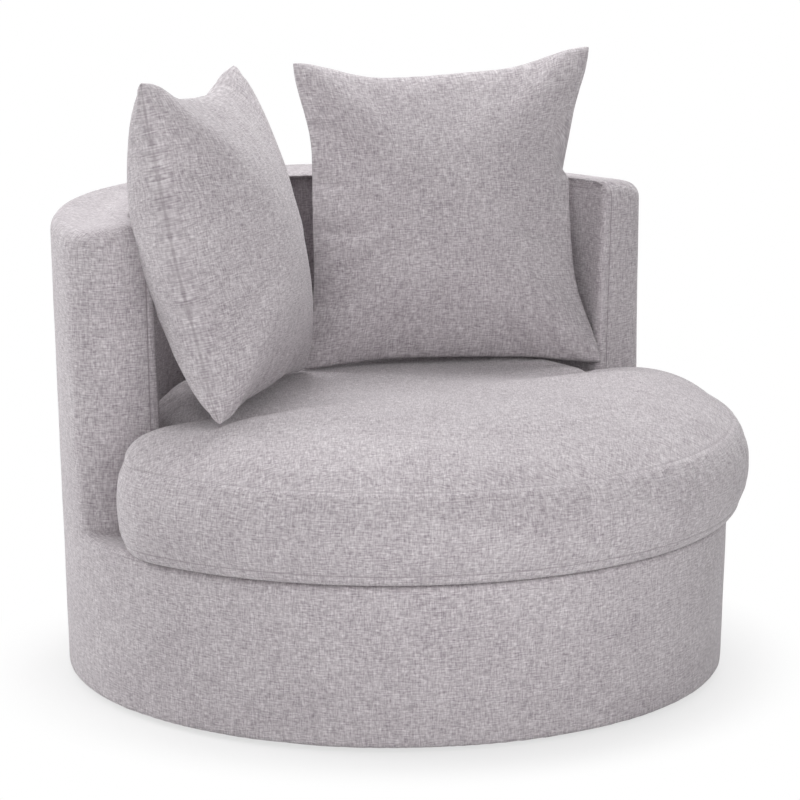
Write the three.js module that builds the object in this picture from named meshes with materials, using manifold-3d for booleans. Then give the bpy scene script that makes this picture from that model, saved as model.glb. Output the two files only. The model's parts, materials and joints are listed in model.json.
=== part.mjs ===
// A round cuddle chair: an upholstered drum with a curved back that ends in two arms,
// a loose seat cushion that overhangs the drum, and two scatter pillows.
// Millimetres, +Z up, the front faces -Y. The origin is the centre of the floor pad's underside.
import * as THREE from 'three';
import { mergeVertices } from 'three/addons/utils/BufferGeometryUtils.js';
import Module from 'manifold-3d';

const wasm = await Module();
wasm.setup();

// Overall form of the upholstered body
const drumRadiusAtFloor = 500;
const drumFlare = 16;
const rimHeight = 700;
const deckHeight = 245;
const hemHeight = 8;
const wallThicknessAtRim = 110;
const insideLean = 18;
const rimRounding = 22;
const drumEdgeRounding = 10;

// Arm ends: the face is slanted back towards the outside and rounded there
const armFaceY = 16;
const armFaceSlantDegrees = 15;
const armOuterRounding = 60;

// Layers from the outside in
const coverThickness = 2.5;
const outsidePaddingThickness = 6;
const insidePaddingThickness = 25;
const rimPaddingThickness = 18;
const armPaddingThickness = 20;
const panelThickness = 3;
const touchGap = 0.4;

// Wooden frame
const boardThickness = 18;
const seatRingLip = 38;
const lowerRibDepth = 110;
const lowerRibCount = 6;
const upperRibCount = 5;
const armPostDepth = 40;

// Swivel and base
const floorPadThickness = 4;
const floorPadRadius = 322;
const baseBoardRadius = 330;
const swivelPlateRadius = 150;
const swivelPlateThickness = 4;
const ballRadius = 4;
const ballCircleRadius = 130;
const ballCount = 12;
const ballCageWidth = 14;
const ballCageThickness = 4;
const boltCircleRadius = 95;
const boltCount = 4;
const boltRadius = 4;
const boltHeadRadius = 8;
const boltHeadThickness = 3;
const boltLengthInBoard = 14;
const boltClearance = 0.4;
const dustCoverThickness = 1;

// Platform under the seat cushion
const springCount = 5;
const springSpacing = 120;
const springWireRadius = 1.9;
const springBendWidth = 44;
const springBendCount = 8;
const springSeat = 12;
const deckFoamThickness = 14;

// Seat cushion
const cushionThickness = 197;
const cushionOverhang = 31;
const cushionFrontRadius = 545;
const cushionEarRadius = 132;
const cushionEarGap = 4;
const cushionSideGap = 8;
const cushionCoverThickness = 3;
const cushionZipWidth = 8;
const cushionZipSweepDegrees = 50;

// Scatter pillows
const pillowSize = 480;
const pillowHalfThickness = 80;
const pillowDrawIn = 24;
const pillowFullnessShare = 0.42;
const pillowCoverThickness = 2.5;
const pillowEdgeWidth = 8;
const pillowZipLength = 300;
const pillowZipWidth = 3;
const pillowZipDepth = 5;
const pillows = [
  { side: 'left', placeShares: [-0.638, 0.122], turn: 45.7, lean: 13.1, roll: 1.5 },
  { side: 'right', placeShares: [0.453, 0.362], turn: -21.2, lean: 11.9, roll: -0.2 },
];

// Fineness of the facets
const facets = 48;
const boltFacets = 8;
const roundingSteps = 3;
const cushionSteps = 7;
const pillowCells = 10;
const ballFacets = 6;
const wireFacets = 4;
const wireStepsPerBend = 3;
const mergeDistance = 1e-4;
const facetShare = Math.cos(Math.PI / facets);

const reach = 2 * (drumRadiusAtFloor + drumFlare);
const tall = 2 * rimHeight;
const radians = THREE.MathUtils.degToRad;

const looks = {
  fabric: { color: 0xb6afb3, roughness: 0.95, metalness: 0 },
  foam: { color: 0xe6dfc8, roughness: 0.9, metalness: 0 },
  fibre: { color: 0xf0f0ee, roughness: 1, metalness: 0 },
  plywood: { color: 0xc9a576, roughness: 0.7, metalness: 0 },
  fibreboard: { color: 0x9c7a54, roughness: 0.8, metalness: 0 },
  dustCloth: { color: 0x1c1c1e, roughness: 0.95, metalness: 0 },
  felt: { color: 0x3b3b3d, roughness: 1, metalness: 0 },
  steel: { color: 0x8b8d90, roughness: 0.4, metalness: 1 },
  zip: { color: 0x8d878b, roughness: 0.5, metalness: 0 },
};

const chair = new THREE.Group();

// A closed geometry as a solid, with its faces turned outwards
function solidFrom(geometry) {
  const plain = geometry.clone();
  plain.deleteAttribute('normal');
  plain.deleteAttribute('uv');
  const merged = mergeVertices(plain, mergeDistance);
  const place = merged.attributes.position;
  const corner = [new THREE.Vector3(), new THREE.Vector3(), new THREE.Vector3()];
  const triangles = [];
  let sixVolumes = 0;
  for (let i = 0; i < merged.index.count; i += 3) {
    const [a, b, c] = [0, 1, 2].map((k) => merged.index.getX(i + k));
    if (a === b || b === c || c === a) continue;
    triangles.push([a, b, c]);
    [a, b, c].forEach((vertex, k) => corner[k].fromBufferAttribute(place, vertex));
    sixVolumes += corner[0].dot(corner[1].clone().cross(corner[2]));
  }
  const ordered = sixVolumes < 0 ? triangles.map(([a, b, c]) => [a, c, b]) : triangles;
  return new wasm.Manifold(new wasm.Mesh({
    numProp: 3,
    vertProperties: new Float32Array(place.array),
    triVerts: new Uint32Array(ordered.flat()),
  }));
}

function geometryFrom(solid) {
  const mesh = solid.getMesh();
  const geometry = new THREE.BufferGeometry();
  geometry.setAttribute('position', new THREE.BufferAttribute(mesh.vertProperties, 3));
  geometry.setIndex(new THREE.BufferAttribute(mesh.triVerts, 1));
  geometry.computeVertexNormals();
  return geometry;
}

function addNode(name, solid, look, parent = chair) {
  const mesh = new THREE.Mesh(geometryFrom(solid), new THREE.MeshStandardMaterial(looks[look]));
  mesh.name = name;
  parent.add(mesh);
  return mesh;
}

const point = (x, y) => new THREE.Vector2(x, y);
const polar = (radius, angle) => point(radius * Math.cos(angle), radius * Math.sin(angle));
const mirrored = (points) => points.map((p) => point(-p.x, p.y));

// Revolves a closed radius and height outline about +Z
function lathe(points, sides = facets) {
  const outline = [...points, points[0]];
  return solidFrom(new THREE.LatheGeometry(outline, sides).rotateX(Math.PI / 2));
}

function disc(radius, low, high, sides = facets) {
  const outline = [point(0, low), point(radius, low), point(radius, high), point(0, high)];
  return solidFrom(new THREE.LatheGeometry(outline, sides).rotateX(Math.PI / 2));
}

const band = (inner, outer, low, high) => lathe([
  point(inner, low), point(outer, low), point(outer, high), point(inner, high),
]);

function prism(points, low, high) {
  const shape = new THREE.Shape(points);
  const geometry = new THREE.ExtrudeGeometry(shape, { depth: high - low, bevelEnabled: false });
  return solidFrom(geometry.translate(0, 0, low));
}

const slab = (low, high) => prism([
  point(-reach, -reach), point(reach, -reach), point(reach, reach), point(-reach, reach),
], low, high);

function arc(centre, radius, from, to, steps = roundingSteps) {
  const points = [];
  for (let i = 0; i <= steps; i += 1) {
    const angle = from + (to - from) * i / steps;
    points.push(polar(radius, angle).add(centre));
  }
  return points;
}

// All in front of a Y or behind it
function halfSpace(y, side) {
  const far = side * reach;
  return prism([point(-reach, y), point(reach, y), point(reach, far), point(-reach, far)], -tall, tall);
}

// The sector of space between two angles, counted from +X
function wedge(from, to) {
  const steps = Math.ceil((to - from) / (Math.PI / 4));
  return prism([point(0, 0), ...arc(point(0, 0), reach, from, to, steps)], -tall, tall);
}

// Radii of the body's outside and inside at a height
const drumRadiusAtRim = drumRadiusAtFloor + drumFlare;
const outsideAt = (z) => THREE.MathUtils.lerp(drumRadiusAtFloor, drumRadiusAtRim, z / rimHeight);
const insideAtRim = drumRadiusAtRim - wallThicknessAtRim;
const insideAt = (z) => insideAtRim - insideLean * (rimHeight - z) / (rimHeight - deckHeight);
const seatRingInnerRadius = insideAt(deckHeight) - seatRingLip;

const outsidePaddingInset = coverThickness + touchGap;
const outsidePanelInset = outsidePaddingInset + outsidePaddingThickness + touchGap;
const frameOuterInset = outsidePanelInset + panelThickness + touchGap;
const insidePaddingInset = coverThickness + touchGap;
const insidePanelInset = insidePaddingInset + insidePaddingThickness + touchGap;
const frameInnerInset = insidePanelInset + panelThickness + touchGap;
const rimPaddingInset = coverThickness + touchGap;
const railTop = rimHeight - rimPaddingInset - rimPaddingThickness - touchGap;
const railBottom = railTop - boardThickness;

// Heights of the stack from the floor to the platform
const baseBoardLow = floorPadThickness + touchGap;
const baseBoardHigh = baseBoardLow + boardThickness;
const lowerPlateLow = baseBoardHigh + touchGap;
const lowerPlateHigh = lowerPlateLow + swivelPlateThickness;
const ballCentre = lowerPlateHigh + touchGap + ballRadius;
const upperPlateLow = ballCentre + ballRadius + touchGap;
const upperPlateHigh = upperPlateLow + swivelPlateThickness;
const bottomBoardLow = upperPlateHigh + touchGap;
const bottomBoardHigh = bottomBoardLow + boardThickness;
const deckCoverLow = deckHeight - coverThickness;
const deckFoamHigh = deckCoverLow - touchGap;
const deckFoamLow = deckFoamHigh - deckFoamThickness;
const springCentre = deckFoamLow - touchGap - springWireRadius;
const seatRingHigh = springCentre - springWireRadius - touchGap;
const seatRingLow = seatRingHigh - boardThickness;

// The rounded top of the wall at an inset from its surface, from the outside over to the inside
function rimArcs(inset) {
  const radius = rimRounding - inset;
  const height = rimHeight - rimRounding;
  const outer = point(drumRadiusAtRim - rimRounding, height);
  const inner = point(insideAtRim + rimRounding, height);
  return [...arc(outer, radius, 0, Math.PI / 2), ...arc(inner, radius, Math.PI / 2, Math.PI)];
}

// The whole wall's section from a height up, at an inset from its surface
function wallSection(inset, low) {
  return lathe([point(outsideAt(low) - inset, low), ...rimArcs(inset), point(insideAt(low) + inset, low)]);
}

// One arm end in plan: the slanted face, then the rounding up to the outside
const slant = radians(armFaceSlantDegrees);
const alongFace = polar(1, slant);
const backOfFace = polar(1, slant + Math.PI / 2);
const innerCorner = point(insideAtRim, armFaceY);

function roundingCentre() {
  const start = innerCorner.clone().addScaledVector(backOfFace, armOuterRounding);
  const distance = drumRadiusAtRim - armOuterRounding;
  const half = start.dot(alongFace);
  const run = -half + Math.sqrt(half * half - start.lengthSq() + distance * distance);
  return start.addScaledVector(alongFace, run);
}

const armRoundingCentre = roundingCentre();
const armEndAngle = armRoundingCentre.angle();
const gapAngle = touchGap / drumRadiusAtFloor;

function armContour(inset) {
  const radius = armOuterRounding - inset;
  const start = innerCorner.clone()
    .addScaledVector(backOfFace, inset)
    .addScaledVector(alongFace, -wallThicknessAtRim);
  return [start, ...arc(armRoundingCentre, radius, slant - Math.PI / 2, armEndAngle)];
}

// All that lies behind both arm ends at an inset
function behindArms(inset, low = deckHeight + touchGap) {
  const right = [...armContour(inset), polar(reach, armEndAngle + gapAngle)];
  const far = [point(reach, reach), point(-reach, reach)];
  return prism([...right, ...far, ...mirrored(right).reverse()], low, tall);
}

// The slice of an arm end between two insets
function armSlice(front, back) {
  const points = [...armContour(front), ...armContour(back).reverse()];
  const low = deckHeight + touchGap;
  return { right: prism(points, low, tall), left: prism(mirrored(points), low, tall) };
}

const backSector = wedge(armEndAngle + gapAngle, Math.PI - armEndAngle - gapAngle);
const frontSector = wedge(Math.PI - armEndAngle + gapAngle, 2 * Math.PI + armEndAngle - gapAngle);

const armPostInset = coverThickness + armPaddingThickness + 2 * touchGap;
const armPostBack = armRoundingCentre.y + armPostDepth;
const frameStartAngle = Math.asin((armPostBack + touchGap) / (insideAt(deckHeight) + insidePanelInset));
const frameSector = halfSpace(armPostBack + touchGap, 1);

// A thin skin that follows the outside between two heights
function outsideSkin(inset, thickness, low, high) {
  return lathe([
    point(outsideAt(low) - inset, low), point(outsideAt(high) - inset, high),
    point(outsideAt(high) - inset - thickness, high), point(outsideAt(low) - inset - thickness, low),
  ]);
}

function insideSkin(inset, thickness, low, high) {
  return lathe([
    point(insideAt(low) + inset, low), point(insideAt(low) + inset + thickness, low),
    point(insideAt(high) + inset + thickness, high), point(insideAt(high) + inset, high),
  ]);
}

function addBase() {
  addNode('floor_pad', disc(floorPadRadius, 0, floorPadThickness), 'felt');
  let board = disc(baseBoardRadius, baseBoardLow, baseBoardHigh);
  let lowerPlate = disc(swivelPlateRadius, lowerPlateLow, lowerPlateHigh);
  let upperPlate = disc(swivelPlateRadius, upperPlateLow, upperPlateHigh);
  const bottomRadius = (outsideAt(bottomBoardLow) - frameOuterInset) * facetShare;
  let bottomBoard = disc(bottomRadius, bottomBoardLow, bottomBoardHigh);
  const lowerTip = baseBoardHigh - boltLengthInBoard;
  const upperTip = bottomBoardLow + boltLengthInBoard;
  for (let i = 0; i < boltCount; i += 1) {
    const place = polar(boltCircleRadius, 2 * Math.PI * (i + 1 / 2) / boltCount);
    const lowerHole = disc(boltRadius + boltClearance, lowerTip - boltClearance, upperPlateLow, boltFacets);
    const upperHole = disc(boltRadius + boltClearance, lowerPlateHigh, upperTip + boltClearance, boltFacets);
    board = board.subtract(lowerHole.translate([place.x, place.y, 0]));
    lowerPlate = lowerPlate.subtract(lowerHole.translate([place.x, place.y, 0]));
    upperPlate = upperPlate.subtract(upperHole.translate([place.x, place.y, 0]));
    bottomBoard = bottomBoard.subtract(upperHole.translate([place.x, place.y, 0]));
    const lowerSeat = lowerPlateHigh + touchGap;
    const upperSeat = upperPlateLow - touchGap;
    const baseBolt = boltSolid(lowerTip, lowerSeat, lowerSeat + boltHeadThickness);
    const swivelBolt = boltSolid(upperTip, upperSeat, upperSeat - boltHeadThickness);
    addNode(`base_bolt_${i + 1}`, baseBolt.translate([place.x, place.y, 0]), 'steel');
    addNode(`swivel_bolt_${i + 1}`, swivelBolt.translate([place.x, place.y, 0]), 'steel');
  }
  addNode('base_board', board, 'plywood');
  addNode('lower_swivel_plate', lowerPlate, 'steel');
  addNode('upper_swivel_plate', upperPlate, 'steel');
  addNode('bottom_board', bottomBoard, 'plywood');
}

// A bolt along +Z: its tip, the seat under its head, and the head's far face
function boltSolid(tip, seat, crown) {
  const outline = [
    point(0, tip), point(boltRadius, tip), point(boltRadius, seat),
    point(boltHeadRadius, seat), point(boltHeadRadius, crown), point(0, crown),
  ];
  return solidFrom(new THREE.LatheGeometry(outline, boltFacets).rotateX(Math.PI / 2));
}

function addBallRing() {
  const low = ballCentre - ballCageThickness / 2;
  const high = ballCentre + ballCageThickness / 2;
  let ring = band(ballCircleRadius - ballCageWidth / 2, ballCircleRadius + ballCageWidth / 2, low, high);
  for (let i = 0; i < ballCount; i += 1) {
    const place = polar(ballCircleRadius, 2 * Math.PI * (i + 1 / 2) / ballCount);
    const ball = new THREE.SphereGeometry(ballRadius, ballFacets, ballFacets - 2).rotateX(Math.PI / 2);
    ring = ring.add(solidFrom(ball.translate(place.x, place.y, ballCentre)));
  }
  addNode('ball_ring', ring, 'steel');
}

// An upright board that stands along a radius, given its outline in radius and height
function ribSolid(outline, angle) {
  const shape = new THREE.Shape(outline);
  const geometry = new THREE.ExtrudeGeometry(shape, { depth: boardThickness, bevelEnabled: false });
  geometry.rotateX(Math.PI / 2).translate(0, boardThickness / 2, 0).rotateZ(angle);
  return solidFrom(geometry);
}

function addFrame() {
  const edgeAt = (z) => (outsideAt(z) - frameOuterInset) * facetShare;
  const low = bottomBoardHigh + touchGap;
  const high = seatRingLow - touchGap;
  for (let i = 0; i < lowerRibCount; i += 1) {
    const outline = [
      point(edgeAt(low) - lowerRibDepth, low), point(edgeAt(low), low),
      point(edgeAt(high), high), point(edgeAt(high) - lowerRibDepth, high),
    ];
    addNode(`lower_rib_${i + 1}`, ribSolid(outline, 2 * Math.PI * (i + 1 / 2) / lowerRibCount), 'plywood');
  }
  addNode('seat_ring', band(seatRingInnerRadius, edgeAt(seatRingLow), seatRingLow, seatRingHigh), 'plywood');
  const foot = seatRingHigh + touchGap;
  const head = railBottom - touchGap;
  const firstAngle = frameStartAngle + boardThickness / insideAtRim;
  for (let i = 0; i < upperRibCount; i += 1) {
    const outline = [
      point(insideAt(foot) + frameInnerInset, foot), point(edgeAt(foot), foot),
      point(edgeAt(head), head), point(insideAt(head) + frameInnerInset, head),
    ];
    const angle = THREE.MathUtils.lerp(firstAngle, Math.PI - firstAngle, i / (upperRibCount - 1));
    addNode(`upper_rib_${i + 1}`, ribSolid(outline, angle), 'plywood');
  }
  const rail = band(
    insideAt(railBottom) + insidePanelInset + insideLean * boardThickness / (rimHeight - deckHeight),
    outsideAt(railBottom) - outsidePanelInset,
    railBottom,
    railTop,
  );
  addNode('top_rail', rail.intersect(frameSector), 'plywood');
  const postSection = lathe([
    point(outsideAt(foot) - outsidePanelInset, foot), point(outsideAt(railTop) - outsidePanelInset, railTop),
    point(insideAt(railTop) + insidePanelInset, railTop), point(insideAt(foot) + insidePanelInset, foot),
  ]);
  const postPlan = [
    ...armContour(armPostInset), polar(reach, armEndAngle + gapAngle), point(reach, reach),
    point(0, reach), point(0, armFaceY),
  ];
  const plan = prism(postPlan, -tall, tall).intersect(halfSpace(armPostBack, -1));
  addNode('arm_post_right', postSection.intersect(plan), 'plywood');
  addNode('arm_post_left', postSection.intersect(plan.mirror([1, 0, 0])), 'plywood');
}

function addPanels() {
  const foot = seatRingHigh + touchGap;
  const head = railBottom - touchGap;
  const outside = outsideSkin(outsidePanelInset, panelThickness, bottomBoardLow, head);
  addNode('outside_panel', outside.intersect(frameSector), 'fibreboard');
  const inside = insideSkin(insidePanelInset, panelThickness, foot, head);
  addNode('inside_panel', inside.intersect(frameSector), 'fibreboard');
  const front = outsideSkin(outsidePanelInset, panelThickness, bottomBoardLow, seatRingHigh);
  addNode('front_panel', front.intersect(halfSpace(armPostBack, -1)), 'fibreboard');
}

function addPadding() {
  const foot = seatRingHigh + touchGap;
  const outside = outsideSkin(outsidePaddingInset, outsidePaddingThickness, bottomBoardLow, railTop)
    .intersect(wallSection(outsidePaddingInset, bottomBoardLow));
  addNode('outside_padding', outside.intersect(backSector), 'fibre');
  const rim = wallSection(rimPaddingInset, deckHeight).intersect(slab(railTop + touchGap, tall));
  addNode('rim_padding', rim.intersect(behindArms(armPostInset)), 'foam');
  const inside = insideSkin(insidePaddingInset, insidePaddingThickness, foot, railTop)
    .intersect(wallSection(insidePaddingInset, foot));
  addNode('inside_padding', inside.intersect(behindArms(armPostInset, -tall)), 'foam');
  const edge = outsideAt(deckHeight) - outsidePaddingInset;
  const underside = outsideAt(bottomBoardLow) - outsidePaddingInset;
  const inner = insideAt(deckHeight);
  const drumEdge = lathe([
    point(inner, foot), point(edge - outsidePaddingThickness, foot),
    point(underside - outsidePaddingThickness, bottomBoardLow), point(underside, bottomBoardLow),
    ...drumEdgeArc(outsidePaddingInset), point(inner, deckHeight - outsidePaddingInset),
  ]);
  const besidePosts = frontSector.subtract(behindArms(armPostInset - touchGap, -tall));
  addNode('front_padding', drumEdge.intersect(besidePosts), 'foam');
  const slice = armSlice(coverThickness + touchGap, armPostInset - touchGap);
  const section = wallSection(coverThickness + touchGap, deckHeight);
  addNode('arm_foam_right', section.intersect(slice.right), 'foam');
  addNode('arm_foam_left', section.intersect(slice.left), 'foam');
}

// The rounded top edge of the drum's front at an inset from its surface
function drumEdgeArc(inset) {
  const centre = point(outsideAt(deckHeight) - drumEdgeRounding, deckHeight - drumEdgeRounding);
  return arc(centre, drumEdgeRounding - inset, 0, Math.PI / 2);
}

function addCovers() {
  const arcs = (inset) => rimArcs(inset).slice(0, roundingSteps + 1);
  const back = (inset) => rimArcs(inset).slice(roundingSteps + 1);
  const inner = coverThickness;
  const outside = lathe([
    point(outsideAt(hemHeight), hemHeight), ...arcs(0),
    ...arcs(inner).reverse(), point(outsideAt(hemHeight) - inner, hemHeight),
  ]);
  const behind = behindArms(coverThickness + touchGap).add(backSector);
  addNode('outside_cover', outside.intersect(behind), 'fabric');
  const outerTop = drumRadiusAtRim - rimRounding - touchGap;
  const foot = deckHeight + touchGap;
  const inside = lathe([
    point(outerTop, rimHeight), ...back(0), point(insideAt(foot), foot),
    point(insideAt(foot) + inner, foot), ...back(inner).reverse(), point(outerTop, rimHeight - inner),
  ]);
  addNode('inside_cover', inside.intersect(behindArms(coverThickness + touchGap)), 'fabric');
  const flange = insideAt(deckHeight);
  const front = lathe([
    point(outsideAt(hemHeight), hemHeight), ...drumEdgeArc(0), point(flange, deckHeight),
    point(flange, deckHeight - inner), ...drumEdgeArc(inner).reverse(),
    point(outsideAt(hemHeight) - inner, hemHeight),
  ]);
  const besidePosts = frontSector.subtract(behindArms(armPostInset - touchGap, -tall));
  addNode('front_cover', front.intersect(besidePosts), 'fabric');
  const slice = armSlice(0, coverThickness);
  const section = wallSection(0, deckHeight);
  addNode('arm_cover_right', section.intersect(slice.right), 'fabric');
  addNode('arm_cover_left', section.intersect(slice.left), 'fabric');
  const dustRadius = (outsideAt(bottomBoardLow) - outsidePanelInset - panelThickness) * facetShare - touchGap;
  const dustHigh = bottomBoardLow - touchGap;
  const dustLow = dustHigh - dustCoverThickness;
  addNode('dust_cover', band(swivelPlateRadius + touchGap, dustRadius, dustLow, dustHigh), 'dustCloth');
}

function addDeck() {
  const edge = insideAt(deckHeight) * facetShare - touchGap;
  addNode('deck_cover', disc(edge, deckCoverLow, deckHeight), 'fabric');
  addNode('deck_foam', disc(edge, deckFoamLow, deckFoamHigh), 'foam');
  const section = new THREE.Shape(arc(point(0, 0), springWireRadius, 0, 2 * Math.PI, wireFacets).slice(1));
  for (let i = 0; i < springCount; i += 1) {
    const x = springSpacing * (i - (springCount - 1) / 2);
    const half = Math.sqrt((seatRingInnerRadius + springSeat) ** 2 - x * x);
    const points = [new THREE.Vector3(x, -half, springCentre)];
    for (let bend = 0; bend < springBendCount; bend += 1) {
      const side = bend % 2 ? 1 : -1;
      const y = half * (2 * (bend + 1 / 2) / springBendCount - 1);
      points.push(new THREE.Vector3(x + side * springBendWidth / 2, y, springCentre));
    }
    points.push(new THREE.Vector3(x, half, springCentre));
    const extrudePath = new THREE.CatmullRomCurve3(points);
    const steps = wireStepsPerBend * springBendCount;
    const wire = new THREE.ExtrudeGeometry(section, { steps, extrudePath, bevelEnabled: false });
    addNode(`seat_spring_${i + 1}`, solidFrom(wire), 'steel');
  }
}

// The seat cushion in plan, drawn in by an inset: the big front arc, the rounded ears in
// front of the arms, and the tongue that fills the space between them
function cushionOutline(inset) {
  const frontY = -(drumRadiusAtFloor + cushionOverhang);
  const front = point(0, frontY + cushionFrontRadius);
  const earBack = armFaceY - cushionEarGap;
  const earY = earBack - cushionEarRadius;
  const between = cushionFrontRadius - cushionEarRadius;
  const ear = point(Math.sqrt(between ** 2 - (front.y - earY) ** 2), earY);
  const joinAngle = ear.clone().sub(front).angle() - 2 * Math.PI;
  const tongue = insideAt(deckHeight) - cushionSideGap - inset;
  const cornerAngle = Math.asin((earBack - inset) / tongue);
  const right = [
    ...arc(front, cushionFrontRadius - inset, -Math.PI / 2, joinAngle, cushionSteps),
    ...arc(ear, cushionEarRadius - inset, joinAngle, Math.PI / 2, cushionSteps).slice(1),
    ...arc(point(0, 0), tongue, cornerAngle, Math.PI / 2, cushionSteps),
  ];
  return [...right, ...mirrored(right).reverse().slice(1, -1)];
}

// Rings of the cushion from the bottom up as shares of its thickness: height of the front,
// height of the back, and draw-in. The front's top is a wide dome above its seam
const cushionRingShares = [
  [0, 0, 0.22], [0.02, 0.02, 0.15], [0.085, 0.085, 0.072], [0.19, 0.19, 0.022], [0.4, 0.4, 0.006],
  [0.56, 0.56, 0.02], [0.64, 0.64, 0.07], [0.665, 0.76, 0.12], [0.764, 0.862, 0.325],
  [0.827, 0.882, 0.477], [0.887, 0.888, 0.655],
];
// Rings inside those, each as a scale of the last, with the height of its front and back
const cushionDomeShares = [[0.85, 0.955, 0.892], [0.6, 0.988, 0.905]];
const cushionTopShare = 0.99;
const backStartShare = 0.123;
const backEndShare = 0.37;

function cushionSolid(skin) {
  const thickness = cushionThickness - 2 * skin;
  const low = deckHeight + touchGap + skin;
  const middle = point(0, -cushionEarRadius);
  const [backStart, backEnd] = [-insideAtRim * backStartShare, insideAtRim * backEndShare];
  const place = (p, frontShare, backShare) => {
    const back = THREE.MathUtils.smoothstep(p.y, backStart, backEnd);
    return new THREE.Vector3(p.x, p.y, low + thickness * THREE.MathUtils.lerp(frontShare, backShare, back));
  };
  const rings = cushionRingShares.map(([frontShare, backShare, drawShare]) => (
    cushionOutline(drawShare * cushionThickness + skin).map((p) => place(p, frontShare, backShare))
  ));
  const rim = rings[rings.length - 1];
  cushionDomeShares.forEach(([scale, frontShare, backShare]) => {
    rings.push(rim.map((p) => place(point(p.x, p.y).lerp(middle, 1 - scale), frontShare, backShare)));
  });
  const bottom = new THREE.Vector3(middle.x, middle.y, low);
  return solidFrom(ringGeometry(rings, bottom, place(middle, cushionTopShare, cushionTopShare)));
}

// A closed surface through rings of as many points each, with a point at either end
function ringGeometry(rings, bottom, top) {
  const sides = rings[0].length;
  const points = [...rings.flat(), bottom, top];
  const first = points.length - 2;
  const last = points.length - 1;
  const index = [];
  for (let j = 0; j < sides; j += 1) {
    const next = (j + 1) % sides;
    index.push(first, next, j);
    for (let i = 0; i + 1 < rings.length; i += 1) {
      const here = i * sides;
      const above = here + sides;
      index.push(here + j, here + next, above + next, here + j, above + next, above + j);
    }
    index.push(last, first - sides + j, first - sides + next);
  }
  const geometry = new THREE.BufferGeometry().setFromPoints(points);
  geometry.setIndex(index);
  return geometry;
}

function addSeatCushion() {
  const zipHeight = deckHeight + cushionThickness / 3;
  const sweep = radians(cushionZipSweepDegrees) / 2;
  const backEdge = insideAt(deckHeight) - cushionSideGap;
  const low = zipHeight - cushionZipWidth / 2;
  const high = zipHeight + cushionZipWidth / 2;
  const slit = band(backEdge - 2 * cushionCoverThickness, backEdge + cushionSideGap, low, high)
    .intersect(wedge(Math.PI / 2 - sweep, Math.PI / 2 + sweep));
  const cover = cushionSolid(0).subtract(cushionSolid(cushionCoverThickness)).subtract(slit);
  const mesh = addNode('seat_cushion_cover', cover, 'fabric');
  addNode('seat_cushion_core', cushionSolid(cushionCoverThickness + touchGap), 'foam');
  const zipEdge = (backEdge - touchGap) * facetShare;
  const zipInner = zipEdge - cushionCoverThickness + 2 * touchGap;
  const zip = band(zipInner, zipEdge, low + touchGap, high - touchGap)
    .intersect(wedge(Math.PI / 2 - sweep + gapAngle, Math.PI / 2 + sweep - gapAngle));
  addNode('seat_cushion_zip', zip, 'zip');
  return mesh;
}

// A square pillow that stands on its lower edge, width along X and thickness along Y: its
// faces swell to the middle, its sides draw in between the corners
function pillowSolid(edge, skin) {
  const half = pillowSize / 2 - edge;
  const cells = pillowCells;
  const shares = Array.from({ length: cells + 1 }, (_, i) => Math.sin(Math.PI * (i / cells - 1 / 2)));
  const points = [];
  const index = [];
  [-1, 1].forEach((face) => {
    const start = points.length;
    shares.forEach((t) => shares.forEach((s) => {
      const swell = Math.max((1 - s * s) * (1 - t * t), 0) ** pillowFullnessShare;
      points.push(new THREE.Vector3(
        s * (half - pillowDrawIn * (1 - t * t)),
        face * (pillowHalfThickness - skin) * swell,
        t * (half - pillowDrawIn * (1 - s * s)),
      ));
    }));
    for (let i = 0; i < cells; i += 1) {
      for (let j = 0; j < cells; j += 1) {
        const a = start + i * (cells + 1) + j;
        const b = a + cells + 1;
        const quad = [a, a + 1, b + 1, a, b + 1, b];
        index.push(...(face < 0 ? quad : quad.reverse()));
      }
    }
  });
  const geometry = new THREE.BufferGeometry().setFromPoints(points);
  geometry.setIndex(index);
  return solidFrom(geometry);
}

function boxSolid(width, depth, low, high) {
  return solidFrom(new THREE.BoxGeometry(width, depth, high - low).translate(0, 0, (low + high) / 2));
}

// How far straight down from a mesh's corners the lower mesh lies at the nearest place
function clearanceAbove(upper, lower) {
  const place = upper.geometry.attributes.position;
  const ray = new THREE.Raycaster();
  const down = new THREE.Vector3(0, 0, -1);
  let least = Infinity;
  for (let i = 0; i < place.count; i += 1) {
    const from = new THREE.Vector3().fromBufferAttribute(place, i).applyMatrix4(upper.matrixWorld);
    ray.set(from, down);
    const [hit] = ray.intersectObject(lower);
    if (hit) least = Math.min(least, hit.distance);
  }
  return least;
}

function addPillow({ side, placeShares, turn, lean, roll }, seat) {
  const holder = new THREE.Group();
  holder.rotation.set(-radians(lean), radians(roll), radians(turn), 'ZXY');
  holder.position.set(placeShares[0] * insideAtRim, placeShares[1] * insideAtRim, rimHeight + pillowSize / 2);
  chair.add(holder);
  const lowEdge = -(pillowSize / 2 - pillowDrawIn);
  const slit = boxSolid(pillowZipLength, pillowZipWidth, -pillowSize, lowEdge + pillowEdgeWidth + touchGap);
  const cavity = pillowSolid(pillowEdgeWidth, pillowCoverThickness);
  const cover = pillowSolid(0, 0).subtract(cavity).subtract(slit);
  const filling = pillowSolid(pillowEdgeWidth + 2 * touchGap, pillowCoverThickness + touchGap);
  const strip = boxSolid(pillowZipLength - 2 * touchGap, pillowZipWidth - 2 * touchGap, -pillowSize, 0);
  const zip = pillowSolid(touchGap, 0).subtract(pillowSolid(pillowZipDepth, 0)).intersect(strip);
  const mesh = addNode(`pillow_${side}_cover`, cover, 'fabric', holder);
  addNode(`pillow_${side}_filling`, filling, 'fibre', holder);
  addNode(`pillow_${side}_zip`, zip, 'zip', holder);
  chair.updateMatrixWorld(true);
  holder.position.z -= clearanceAbove(mesh, seat) - touchGap;
}

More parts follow.
